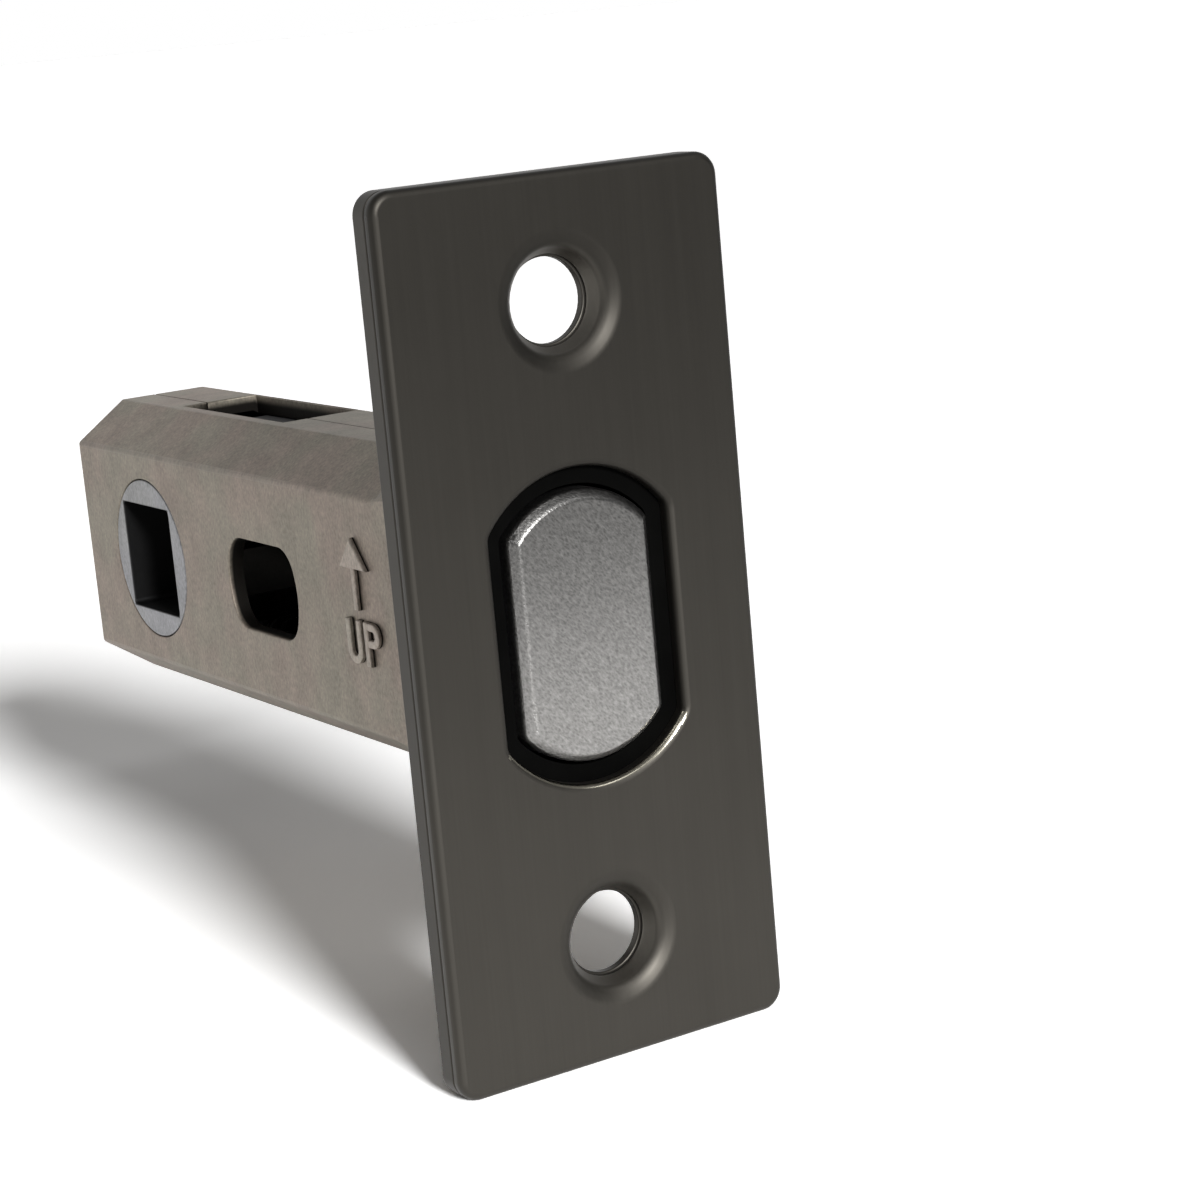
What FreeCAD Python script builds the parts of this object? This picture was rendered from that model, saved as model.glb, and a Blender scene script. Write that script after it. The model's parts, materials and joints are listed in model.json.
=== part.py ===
"""Tubular door latch with a flat bolt that sits flush with its forend.

The latch lies along X: the forend's front face is the plane X = 0 and the case runs back from it.
+X points out of the door's edge, +Z is up, and Y runs across the door's thickness.
All lengths are in millimetres.
"""
import FreeCAD
import Part

import math
import os

# Two lengths closer than this are the same, and cutting shapes run this far past what they cut
same_length = 1e-3
overrun = 1.0

# Fits shared by several pieces
press_clearance = 0.03

# Forend: a decorative front plate over a back plate, both with the same outline
plate_width = 25.0
plate_height = 57.0
plate_corner_radius = 2.5
front_plate_thickness = 1.0
back_plate_thickness = 1.4
plate_edge_chamfer = 0.3
opening_edge_chamfer = 0.3
plate_seam_chamfer = 0.12
screw_end_distance = 8.0
screw_hole_radius = 2.9
dimple_radius = 4.35
dimple_depth = 1.4
dimple_lip = 0.25
dimple_wall = 0.85
dimple_edge_chamfer = 0.4
dimple_seat_clearance = 0.12
back_hole_radius = 2.7

# Bolt: a flat-nosed block with straight sides and rounded ends
bolt_half_width = 5.2
bolt_half_height = 8.75
bolt_end_radius = 6.7
bolt_corner_round = 0.7
corner_round_growth = 0.2
bolt_nose_chamfer = 0.6
bolt_clearance = 0.25
bolt_to_passage = 1.65
opening_gap = 1.4
nose_skin = 1.5
magnet_side = 5.7
magnet_drop = 2.6
magnet_clearance = 0.08
magnet_plug_length = 6.0

# Nylon guide that lines the front of the case round the bolt
guide_wall = 0.55
guide_fit = 0.1
guide_flange_lap = 0.3
guide_flange_thickness = 0.45
guide_sleeve_length = 9.5
guide_recess = 0.05
guide_shoulder_thickness = 1.8
guide_shoulder_gap = 0.4

# Case: two cast halves that grip the back plate between a head and a shoulder
backset = 50.0
fixing_pitch = 19.0
case_wall = 1.2
bolt_side_room = 1.2
bolt_head_room = 0.85
hub_head_room = 3.6
corner_drop = 2.8
corner_width = 4.1
seam_offset = 0.7
head_thickness = 0.8
head_rim = 0.7
neck_wall = 0.9
plate_fit = 0.1
collar_rise = 0.87
side_edge_round = 0.5
top_edge_round = 0.35
rear_edge_chamfer = 0.6
passage_radius = 5.35
passage_half_height = 3.3
passage_corner_round = 2.2
window_behind_hub = 1.8
window_ahead_of_hub = 15.1
window_near_width = 2.6

# Square pillars across the case; the near half's end in pegs that are pressed into the far half's
pillar_side = 3.4
pillar_hub_gap = 0.9
pillar_wall_lap = 0.3
pillar_passage_gap = 1.3
peg_side = 2.0
peg_length = 2.6

# Hub: a square-holed barrel with a finger above and a finger below
hub_corner_wall = 0.438
hub_running_clearance = 0.08
thrust_lug_rise = 0.8
thrust_lug_thickness = 0.8
thrust_gap = 0.1
spindle_square = 8.1
spindle_corner_round = 0.4
hub_sweep = 64.0
finger_tip_radius = 1.5
finger_top_gap = 0.1
finger_half_width = 1.6
finger_half_thickness = 1.0
finger_root_flare = 0.5

# Carriage above the hub, and return slide below it
slide_clearance = 0.2
strip_thickness = 1.2
lug_thickness = 1.8
lug_overlap = 0.2
lug_half_width = 2.3
slot_clearance = 0.3
strip_side_gap = 0.4
rail_gap = 0.3
rail_thickness = 0.8
rail_lead = 1.5
buffer_thickness = 1.2
buffer_gap = 0.3
buffer_half_width = 2.2

# Bolt tail: a steel strap pinned into the back of the bolt
tail_thickness = 0.9
tail_half_width = 4.0
tail_gap = 0.3
tail_passage_gap = 0.25
tail_lug_thickness = 1.5
tail_socket_depth = 4.5
tail_socket_clearance = 0.08
tail_pin_radius = 1.0
tail_pin_inset = 2.3
tail_pin_depth = 2.0
tail_pin_top_skin = 0.6

# Springs and the rods that guide them
bolt_spring_radius = 1.6
bolt_spring_wire = 0.25
bolt_spring_turns = 6.0
rod_radius = 0.8
rod_clearance = 0.06
clip_thickness = 0.6
clip_radius = 1.5
clip_mouth_lip = 0.06
clip_gap = 0.25
rod_tail = 0.9
return_spring_radius = 1.5
return_spring_wire = 0.3
return_spring_turns = 9.0
return_spring_side = 2.6
return_spring_wall_gap = 0.35
return_rod_radius = 0.62
return_rod_socket = 1.0
return_rod_end_gap = 0.5
spring_seat_thickness = 1.2
spring_seat_gap = 0.4
spring_end_gap = 0.05
end_coil_gap = 0.03
spring_runs_per_turn = 7
spring_wire_sides = 4

# Widths of the double-D outlines, each as an offset from the bolt's own outline
guide_bore_offset = bolt_clearance
guide_sleeve_offset = guide_bore_offset + guide_wall
case_bore_offset = guide_sleeve_offset + guide_fit
neck_offset = case_bore_offset + neck_wall
guide_flange_offset = opening_gap + guide_flange_lap
rebate_offset = guide_flange_offset + guide_fit
head_offset = max(rebate_offset, neck_offset) + head_rim
plate_opening_offset = neck_offset + plate_fit
plate_recess_offset = head_offset + plate_fit

# Hub barrel: its radius clears the square's rounded corners by a wall
square_corner_reach = (spindle_square / 2 - spindle_corner_round) * math.sqrt(2) + spindle_corner_round
hub_radius = square_corner_reach + hub_corner_wall
hub_swing_radius = hub_radius + thrust_lug_rise

# Case sections
inner_half_height = max(bolt_half_height + bolt_head_room, hub_radius + hub_head_room)
inner_half_width = bolt_half_width + bolt_side_room
case_half_height = inner_half_height + case_wall
case_half_width = inner_half_width + case_wall
case_flat_half_height = case_half_height - corner_drop
case_top_half_width = case_half_width - corner_width
facet_normal_y = corner_drop / math.hypot(corner_drop, corner_width)
facet_normal_z = corner_width / math.hypot(corner_drop, corner_width)
facet_distance = facet_normal_y * case_half_width + facet_normal_z * case_flat_half_height
corner_radius = math.hypot(case_half_width, case_flat_half_height)
collar_radius = corner_radius + collar_rise
seam_y = -seam_offset

# Stations along X
dimple_back = dimple_depth + dimple_lip
dimple_slope = (dimple_radius - screw_hole_radius) / dimple_depth
dimple_skirt_radius = dimple_radius - dimple_slope * front_plate_thickness + dimple_wall
seam_x = -front_plate_thickness
plate_back_x = seam_x - back_plate_thickness
head_back_x = seam_x - head_thickness
guide_front_x = seam_x - guide_recess
guide_seat_x = guide_front_x - guide_flange_thickness
guide_rear_x = guide_seat_x - guide_sleeve_length
shoulder_front_x = guide_rear_x - guide_fit
front_block_x = shoulder_front_x - guide_shoulder_thickness
hub_x = -backset
fixing_x = hub_x + fixing_pitch
passage_front_x = fixing_x + passage_radius
passage_back_x = fixing_x - passage_radius
case_tail = hub_swing_radius + pillar_hub_gap + pillar_side - pillar_wall_lap + case_wall
case_rear_x = hub_x - case_tail
inner_rear_x = case_rear_x + case_wall
rear_pillar_x = inner_rear_x + pillar_side / 2 - pillar_wall_lap
middle_pillar_x = passage_back_x - pillar_passage_gap - pillar_side / 2

# Hub geometry and the travel that it gives
half_sweep = math.radians(hub_sweep / 2)
finger_reach = inner_half_height - finger_top_gap - finger_tip_radius
travel = 2 * finger_reach * math.sin(half_sweep)
tip_lead = finger_reach * math.sin(half_sweep)
carriage_tip_x = hub_x + tip_lead
return_tip_x = hub_x - tip_lead
lug_foot = finger_reach * math.cos(half_sweep) - lug_overlap
slot_half_length = finger_tip_radius + slot_clearance
slot_half_width = finger_half_width + slot_clearance

# Heights of the carriage, the tail and the springs
strip_top = inner_half_height - slide_clearance
strip_bottom = strip_top - strip_thickness
rail_top = strip_bottom - rail_gap
rail_inner = lug_half_width + rail_gap
tail_bottom = passage_half_height + tail_passage_gap
tail_top = tail_bottom + tail_thickness
rod_height = (tail_top + strip_bottom) / 2
front_lug_foot = tail_top + tail_gap + slide_clearance / 2
tail_lug_top = strip_bottom - tail_gap
return_spring_height = inner_half_height - return_spring_wall_gap - return_spring_radius

# More stations along X that follow from the travel
bolt_rear_x = passage_front_x + bolt_to_passage + travel
tail_rear_x = hub_x + hub_radius + tail_gap + travel
tail_lug_front_x = tail_rear_x + tail_lug_thickness
front_lug_front_x = bolt_rear_x - buffer_gap - buffer_thickness
front_lug_back_x = front_lug_front_x - lug_thickness
clip_front_x = tail_rear_x - clip_gap
clip_back_x = clip_front_x - clip_thickness
rod_back_x = clip_back_x - rod_tail
carriage_back_x = carriage_tip_x - slot_half_length - lug_thickness
return_lug_front_x = return_tip_x + slot_half_length + lug_thickness
return_back_x = return_tip_x - slot_half_length - lug_thickness
seat_front_x = bolt_rear_x - travel - spring_seat_gap
seat_back_x = seat_front_x - spring_seat_thickness
return_rod_front_x = seat_back_x - travel - return_rod_end_gap


def vector(x, y, z):
    """A point or direction."""
    return FreeCAD.Vector(x, y, z)


def block(x_low, x_high, y_low, y_high, z_low, z_high):
    """A box between two corners."""
    return Part.makeBox(x_high - x_low, y_high - y_low, z_high - z_low, vector(x_low, y_low, z_low))


def centred_block(x_low, x_high, half_y, z_low, z_high):
    """A box that is centred across Y."""
    return block(x_low, x_high, -half_y, half_y, z_low, z_high)


def cylinder_x(x_low, x_high, y, z, radius):
    """A cylinder along X."""
    return Part.makeCylinder(radius, x_high - x_low, vector(x_low, y, z), vector(1, 0, 0))


def cylinder_y(x, z, y_low, y_high, radius):
    """A cylinder along Y."""
    return Part.makeCylinder(radius, y_high - y_low, vector(x, y_low, z), vector(0, 1, 0))


def square_bar_x(z, side, x_low, x_high):
    """A square bar along X, centred across Y at height z."""
    return centred_block(x_low, x_high, side / 2, z - side / 2, z + side / 2)


def square_bar_y(x, side, y_low, y_high):
    """A square bar along Y, centred at x and at height 0."""
    return block(x - side / 2, x + side / 2, y_low, y_high, -side / 2, side / 2)


def prism_x(edges, x_low, x_high):
    """The solid that a closed outline in the plane X = x_low sweeps up to x_high."""
    face = Part.Face(Part.Wire(edges))
    return face.extrude(vector(x_high - x_low, 0, 0))


def prism_y(points, y_low, y_high):
    """A polygon given by (x, z) corners, drawn from y_low to y_high."""
    corners = [vector(x, y_low, z) for x, z in points]
    face = Part.Face(Part.makePolygon(corners + corners[:1]))
    return face.extrude(vector(0, y_high - y_low, 0))


def double_d(offset, x_low, x_high):
    """The bolt's outline grown by offset: straight sides, and an arc at the top and the bottom."""
    half_width = bolt_half_width + offset
    radius = bolt_end_radius + offset
    arc_centre = bolt_half_height - bolt_end_radius
    corner = arc_centre + math.sqrt(radius ** 2 - half_width ** 2)
    crown = arc_centre + radius
    near_low = vector(x_low, -half_width, -corner)
    near_high = vector(x_low, -half_width, corner)
    far_high = vector(x_low, half_width, corner)
    far_low = vector(x_low, half_width, -corner)
    edges = [
        Part.LineSegment(near_low, near_high).toShape(),
        Part.Arc(near_high, vector(x_low, 0, crown), far_high).toShape(),
        Part.LineSegment(far_high, far_low).toShape(),
        Part.Arc(far_low, vector(x_low, 0, -crown), near_low).toShape(),
    ]
    prism = prism_x(edges, x_low, x_high)
    corners = [e for e in prism.Edges if not near(e.Vertexes[0].X, e.Vertexes[-1].X)]
    return prism.makeFillet(bolt_corner_round + corner_round_growth * offset, corners)


def rounded_rectangle(half_y, half_z, radius, x_low, x_high):
    """A plate across X with rounded corners."""
    plate = centred_block(x_low, x_high, half_y, -half_z, half_z)
    corners = [e for e in plate.Edges if not near(e.Vertexes[0].X, e.Vertexes[1].X)]
    return plate.makeFillet(radius, corners)


def octagon(inset, x_low, x_high):
    """The case's eight-sided section, moved in by inset, as a prism."""
    half_y = case_half_width - inset
    half_z = case_half_height - inset
    distance = facet_distance - inset
    flat_z = (distance - facet_normal_y * half_y) / facet_normal_z
    top_y = (distance - facet_normal_z * half_z) / facet_normal_y
    quarter = [(half_y, flat_z), (top_y, half_z)]
    outline = quarter + [(-y, z) for y, z in reversed(quarter)]
    outline += [(-y, -z) for y, z in quarter] + [(y, -z) for y, z in reversed(quarter)]
    corners = [vector(x_low, y, z) for y, z in outline]
    face = Part.Face(Part.makePolygon(corners + corners[:1]))
    return face.extrude(vector(x_high - x_low, 0, 0))


def facet_y(height, inset):
    """How far out the facet lies at a height, on the section that is moved in by inset."""
    return (facet_distance - inset - facet_normal_z * height) / facet_normal_y


def edges_on(shape, test):
    """The edges of a shape whose two ends and middle all pass a test."""
    found = []
    for edge in shape.Edges:
        middle = edge.valueAt((edge.FirstParameter + edge.LastParameter) / 2)
        points = [v.Point for v in edge.Vertexes] + [middle]
        if all(test(p) for p in points):
            found.append(edge)
    return found


def near(value, target):
    """True where two lengths are the same."""
    return abs(value - target) < same_length


def coil_spring(x_low, x_high, y, z, outer_radius, wire_radius, turns):
    """A compression spring along X, with its end coils wound close, as short straight runs of wire."""
    mean_radius = outer_radius - wire_radius
    low = x_low + wire_radius + spring_end_gap
    high = x_high - wire_radius - spring_end_gap
    close_length = 2 * wire_radius + end_coil_gap
    open_turns = turns - 2
    count = round(turns * spring_runs_per_turn)
    points = []
    for step in range(count + 1):
        turn = turns * step / count
        open_turn = min(max(turn - 1.0, 0.0), open_turns)
        end_turn = min(turn, 1.0) + max(turn - turns + 1.0, 0.0)
        along = close_length * end_turn + (high - low - 2 * close_length) * open_turn / open_turns
        angle = 2 * math.pi * turn
        points.append(vector(low + along, y + mean_radius * math.cos(angle), z + mean_radius * math.sin(angle)))
    path = Part.makePolygon(points)
    start = points[0]
    forward = (points[1] - start).normalize()
    outward = (start - vector(start.x, y, z)).normalize()
    across = forward.cross(outward).normalize()
    outward = across.cross(forward).normalize()
    rim = []
    for side in range(spring_wire_sides + 1):
        angle = 2 * math.pi * side / spring_wire_sides
        rim.append(start + outward * (wire_radius * math.cos(angle)) + across * (wire_radius * math.sin(angle)))
    return path.makePipeShell([Part.makePolygon(rim)], True, False, 1)


def screw_centres():
    """Heights of the two forend screw holes."""
    height = plate_height / 2 - screw_end_distance
    return (height, -height)


def front_plate():
    """The decorative plate: a double-D opening and two pressed screw dimples."""
    plate = rounded_rectangle(plate_width / 2, plate_height / 2, plate_corner_radius, seam_x, 0)
    plate = plate.makeChamfer(plate_edge_chamfer, edges_on(plate, lambda p: near(p.x, 0)))
    plate = plate.makeChamfer(plate_seam_chamfer, edges_on(plate, lambda p: near(p.x, seam_x)))
    plate = plate.cut(double_d(opening_gap, seam_x - overrun, overrun))
    rim_reach = bolt_half_height + opening_gap + plate_edge_chamfer
    rim = edges_on(plate, lambda p: near(p.x, 0) and math.hypot(p.y, p.z) < rim_reach)
    plate = plate.makeChamfer(opening_edge_chamfer, rim)
    axis = vector(-1, 0, 0)
    for z in screw_centres():
        plate = plate.fuse(cylinder_x(-dimple_back, seam_x, 0, z, dimple_skirt_radius))
        plate = plate.cut(Part.makeCone(dimple_radius, screw_hole_radius, dimple_depth, vector(0, 0, z), axis))
        plate = plate.cut(cylinder_x(-dimple_back - overrun, 0, 0, z, screw_hole_radius))
        mouth = edges_on(plate, lambda p: near(p.x, 0) and near(math.hypot(p.y, p.z - z), dimple_radius))
        plate = plate.makeChamfer(dimple_edge_chamfer, mouth)
    return plate


def back_plate():
    """The plate that the case grips: a recess for the case's head, and two counterbored holes."""
    plate = rounded_rectangle(plate_width / 2, plate_height / 2, plate_corner_radius, plate_back_x, seam_x)
    plate = plate.cut(double_d(plate_opening_offset, plate_back_x - overrun, overrun))
    plate = plate.cut(double_d(plate_recess_offset, head_back_x, overrun))
    for z in screw_centres():
        plate = plate.cut(cylinder_x(-dimple_back - dimple_seat_clearance, 0, 0, z,
                                     dimple_skirt_radius + dimple_seat_clearance))
        plate = plate.cut(cylinder_x(plate_back_x - overrun, 0, 0, z, back_hole_radius))
    return plate


def bolt_guide():
    """The nylon sleeve that the bolt slides in, with a flange behind the front plate's opening."""
    flange = double_d(guide_flange_offset, guide_seat_x, guide_front_x)
    sleeve = double_d(guide_sleeve_offset, guide_rear_x, guide_front_x)
    bore = double_d(guide_bore_offset, guide_rear_x - overrun, overrun)
    return flange.fuse(sleeve).cut(bore).removeSplitter()


def passage():
    """The rose-fixing passage: a round hole with a flat top and bottom and well-rounded corners."""
    reach = 2 * case_half_width
    bar = cylinder_y(fixing_x, 0, -reach, reach, passage_radius)
    bar = bar.common(block(passage_back_x, passage_front_x, -reach, reach, -passage_half_height,
                           passage_half_height))
    corners = edges_on(bar, lambda p: near(abs(p.z), passage_half_height) and not near(p.x, fixing_x))
    corners = [e for e in corners if near(e.Vertexes[0].X, e.Vertexes[1].X)]
    return bar.makeFillet(passage_corner_round, corners)


def case_outside():
    """The outside of the closed case: an eight-sided body, a round-cornered front, a neck and a head."""
    body = octagon(0, case_rear_x, plate_back_x)
    body = body.makeChamfer(rear_edge_chamfer, edges_on(body, lambda p: near(p.x, case_rear_x)))
    along = [e for e in body.Edges if near(max(v.X for v in e.Vertexes), plate_back_x)]
    along = [e for e in along if not near(min(v.X for v in e.Vertexes), plate_back_x)]
    side = [e for e in along if near(abs(e.Vertexes[0].Y), case_half_width)]
    top = [e for e in along if near(abs(e.Vertexes[0].Z), case_half_height)]
    body = body.makeFillet(side_edge_round, side)
    body = body.makeFillet(top_edge_round, edges_like(body, top))
    collar = Part.makeCone(corner_radius, collar_radius, plate_back_x - front_block_x,
                           vector(front_block_x, 0, 0), vector(1, 0, 0))
    slab = centred_block(front_block_x, plate_back_x, case_half_width, -case_half_height, case_half_height)
    body = body.fuse(collar.common(slab))
    body = body.fuse(double_d(neck_offset, plate_back_x, seam_x))
    return body.fuse(double_d(head_offset, head_back_x, seam_x)).removeSplitter()


def edges_like(shape, wanted):
    """The edges of a shape that lie where the wanted edges lay before an earlier operation."""
    found = []
    for edge in shape.Edges:
        middle = edge.valueAt((edge.FirstParameter + edge.LastParameter) / 2)
        for old in wanted:
            if near(middle.y, old.Vertexes[0].Y) and near(middle.z, old.Vertexes[0].Z):
                found.append(edge)
    return found


def case_inside():
    """The space inside the case: the guide's bore, a shoulder behind it, and the long hollow."""
    space = octagon(case_wall, inner_rear_x, front_block_x)
    space = space.fuse(double_d(guide_shoulder_gap, front_block_x - overrun, shoulder_front_x + overrun))
    space = space.fuse(double_d(case_bore_offset, shoulder_front_x, overrun))
    return space.fuse(double_d(rebate_offset, guide_seat_x, overrun))


def case_fittings():
    """What is cast inside the case: the spring seat, the carriage's rails and the pillars."""
    pieces = [centred_block(seat_back_x, seat_front_x, case_half_width, -case_half_height,
                            -(return_spring_height - return_spring_radius))]
    for side in (-1, 1):
        rail = centred_block(inner_rear_x - overrun, hub_x + hub_swing_radius + rail_lead,
                             (case_half_width - rail_inner) / 2, rail_top - rail_thickness, rail_top)
        rail.translate(vector(0, side * (case_half_width + rail_inner) / 2, 0))
        pieces.append(rail)
    for x in (rear_pillar_x, middle_pillar_x):
        pieces.append(square_bar_y(x, pillar_side, -case_half_width, case_half_width))
    body = octagon(case_wall / 2, case_rear_x + case_wall / 2, front_block_x)
    return [piece.common(body) for piece in pieces]


def closed_case():
    """Both halves as one casting, before they are parted along the seam."""
    case = case_outside().cut(case_inside())
    for piece in case_fittings():
        case = case.fuse(piece)
    case = case.cut(passage())
    bearing = hub_radius + hub_running_clearance
    case = case.cut(cylinder_y(hub_x, 0, -2 * case_half_width, 2 * case_half_width, bearing))
    window_low = inner_half_height - case_wall / 2
    case = case.cut(block(hub_x - window_behind_hub, hub_x + window_ahead_of_hub, -window_near_width,
                          case_top_half_width, window_low, 2 * case_half_height))
    return case.removeSplitter()


def peg(x, grow):
    """A peg on the near half's pillar, or with grow its socket in the far half's."""
    return square_bar_y(x, peg_side + 2 * grow, seam_y - overrun, seam_y + peg_length + grow)


def case_half(side):
    """The near half (side -1) or the far half (side 1) of the case."""
    reach = 2 * case_half_height
    low, high = (-reach, seam_y) if side < 0 else (seam_y, reach)
    half = closed_case().common(block(case_rear_x - overrun, overrun, low, high, -reach, reach))
    for x in (rear_pillar_x, middle_pillar_x):
        half = half.fuse(peg(x, 0)) if side < 0 else half.cut(peg(x, press_clearance))
    return half.removeSplitter()


def finger(direction):
    """One finger of the hub, upright before it is turned, with the lugs at its root that bear on the walls."""
    root = hub_radius + finger_root_flare / 2
    shank = prism_y([(-finger_half_thickness - finger_root_flare, hub_radius / 2),
                     (-finger_half_thickness - finger_root_flare, hub_radius),
                     (-finger_half_thickness, root),
                     (-finger_half_thickness, finger_reach),
                     (finger_half_thickness, finger_reach),
                     (finger_half_thickness, root),
                     (finger_half_thickness + finger_root_flare, hub_radius),
                     (finger_half_thickness + finger_root_flare, hub_radius / 2)],
                    -finger_half_width, finger_half_width)
    tip = cylinder_y(0, finger_reach, -finger_half_width, finger_half_width, finger_tip_radius)
    whole = shank.fuse(tip)
    lug_half_length = finger_half_thickness + finger_root_flare
    lug_top = math.sqrt(hub_swing_radius ** 2 - lug_half_length ** 2)
    lug_outer = inner_half_width - thrust_gap
    for low in (-lug_outer, lug_outer - thrust_lug_thickness):
        whole = whole.fuse(block(-lug_half_length, lug_half_length, low, low + thrust_lug_thickness,
                                 hub_radius / 2, lug_top))
    whole.rotate(vector(0, 0, 0), vector(0, 1, 0), math.degrees(half_sweep) + direction)
    whole.translate(vector(hub_x, 0, 0))
    return whole


def hub():
    """The follower: a barrel that fills both side holes, two fingers, and a square right through."""
    barrel = cylinder_y(hub_x, 0, -case_half_width, case_half_width, hub_radius)
    barrel = barrel.fuse(finger(0)).fuse(finger(180)).removeSplitter()
    half = spindle_square / 2
    reach = 2 * case_half_width
    square = block(hub_x - half, hub_x + half, -reach, reach, -half, half)
    along = [e for e in square.Edges if not near(e.Vertexes[0].Y, e.Vertexes[1].Y)]
    return barrel.cut(square.makeFillet(spindle_corner_round, along))


def carriage():
    """The slide above the hub: a slotted strip, two lugs round the upper finger, and a front lug."""
    half_width = facet_y(strip_top, case_wall) - strip_side_gap
    slide = centred_block(carriage_back_x, front_lug_front_x, half_width, strip_bottom, strip_top)
    lug_faces = (carriage_tip_x + slot_half_length, carriage_back_x)
    for x in lug_faces:
        slide = slide.fuse(centred_block(x, x + lug_thickness, lug_half_width, lug_foot, strip_bottom))
    slide = slide.fuse(centred_block(front_lug_back_x, front_lug_front_x, half_width, front_lug_foot,
                                     strip_bottom))
    slide = slide.cut(centred_block(carriage_tip_x - slot_half_length, carriage_tip_x + slot_half_length,
                                    slot_half_width, lug_foot - overrun, strip_top + overrun))
    hole = cylinder_x(front_lug_back_x - overrun, front_lug_front_x, 0, rod_height,
                      rod_radius + press_clearance)
    return slide.cut(hole).removeSplitter()


def return_slide():
    """The slide below the hub: two lugs round the lower finger, the front one wide for two springs."""
    half_width = facet_y(strip_top, case_wall) - strip_side_gap
    wide = return_spring_side + return_spring_radius
    slide = centred_block(return_back_x, return_lug_front_x, half_width, -strip_top, -strip_bottom)
    slide = slide.fuse(centred_block(return_back_x, return_back_x + lug_thickness, lug_half_width,
                                     -strip_bottom, -lug_foot))
    slide = slide.fuse(centred_block(return_lug_front_x - lug_thickness, return_lug_front_x, wide,
                                     -strip_top, -lug_foot))
    slide = slide.cut(centred_block(return_tip_x - slot_half_length, return_tip_x + slot_half_length,
                                    slot_half_width, -strip_top - overrun, 0))
    slide = slide.common(octagon(case_wall + slide_clearance, case_rear_x, 0))
    for side in (-1, 1):
        slide = slide.cut(cylinder_x(return_lug_front_x - return_rod_socket, return_lug_front_x + overrun,
                                     side * return_spring_side, -return_spring_height,
                                     return_rod_radius + press_clearance))
    return slide.removeSplitter()


def return_rod(side):
    """A pin pressed into the return slide that keeps one return spring straight."""
    return cylinder_x(return_lug_front_x - return_rod_socket, return_rod_front_x, side * return_spring_side,
                      -return_spring_height, return_rod_radius)


def return_spring(side):
    """One of the two springs that turn the hub back and bring the carriage forward."""
    return coil_spring(return_lug_front_x, seat_back_x, side * return_spring_side, -return_spring_height,
                       return_spring_radius, return_spring_wire, return_spring_turns)


def bolt_spring():
    """The light spring that draws the bolt back to rest on the carriage."""
    return coil_spring(tail_lug_front_x, front_lug_back_x, 0, rod_height, bolt_spring_radius,
                       bolt_spring_wire, bolt_spring_turns)


def spring_rod():
    """The rod through the light spring, fixed in the carriage's front lug and free in the tail's lug."""
    return cylinder_x(rod_back_x, front_lug_front_x, 0, rod_height, rod_radius)


def rod_clip():
    """The open retaining clip pushed on the rod, which the tail's lug rests against."""
    ring = cylinder_x(clip_back_x, clip_front_x, 0, rod_height, clip_radius)
    throat = rod_radius + press_clearance
    bore = cylinder_x(clip_back_x - overrun, clip_front_x + overrun, 0, rod_height, throat)
    mouth = centred_block(clip_back_x - overrun, clip_front_x + overrun, throat - clip_mouth_lip, rod_height,
                          rod_height + clip_radius + overrun)
    return ring.cut(bore).cut(mouth)


def bolt():
    """The flat-nosed bolt: a chamfered front edge, and sockets for the tail and the magnet."""
    body = double_d(0, bolt_rear_x, 0)
    body = body.makeChamfer(bolt_nose_chamfer, edges_on(body, lambda p: near(p.x, 0)))
    grow = tail_socket_clearance
    body = body.cut(centred_block(bolt_rear_x - overrun, bolt_rear_x + tail_socket_depth + grow,
                                  tail_half_width + grow, tail_bottom - grow, tail_top + grow))
    body = body.cut(tail_pin_bar(press_clearance))
    return body.cut(square_bar_x(-magnet_drop, magnet_side + 2 * magnet_clearance, bolt_rear_x - overrun,
                                 -nose_skin))


def tail_pin_bar(grow):
    """The upright pin that holds the tail, grown by grow; with grow it is the open hole for it."""
    low = tail_bottom - tail_pin_depth - grow
    high = bolt_half_height - tail_pin_top_skin + (2 * bolt_half_height if grow else 0)
    return Part.makeCylinder(tail_pin_radius + grow, high - low, vector(bolt_rear_x + tail_pin_inset, 0, low))


def bolt_tail():
    """The steel strap over the fixing passage, with an upturned lug for the light spring."""
    strap = centred_block(tail_rear_x, bolt_rear_x + tail_socket_depth, tail_half_width, tail_bottom, tail_top)
    strap = strap.fuse(centred_block(tail_rear_x, tail_lug_front_x, lug_half_width - slide_clearance / 2,
                                     tail_bottom, tail_lug_top))
    strap = strap.cut(cylinder_x(tail_rear_x - overrun, tail_lug_front_x + overrun, 0, rod_height,
                                 rod_radius + rod_clearance))
    pin_x = bolt_rear_x + tail_pin_inset
    strap = strap.cut(Part.makeCylinder(tail_pin_radius + press_clearance, tail_thickness + 2 * overrun,
                                        vector(pin_x, 0, tail_bottom - overrun)))
    return strap.removeSplitter()


def bolt_magnet():
    """The bar magnet close behind the bolt's nose."""
    back = bolt_rear_x + magnet_plug_length + magnet_clearance
    return square_bar_x(-magnet_drop, magnet_side, back, -nose_skin - magnet_clearance)


def magnet_plug():
    """The plug that closes the magnet's socket."""
    return square_bar_x(-magnet_drop, magnet_side, bolt_rear_x, bolt_rear_x + magnet_plug_length)


def bolt_buffer():
    """The rubber pad on the carriage's front lug that the bolt comes home against."""
    return centred_block(front_lug_front_x, front_lug_front_x + buffer_thickness, buffer_half_width,
                         front_lug_foot, strip_bottom)


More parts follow.
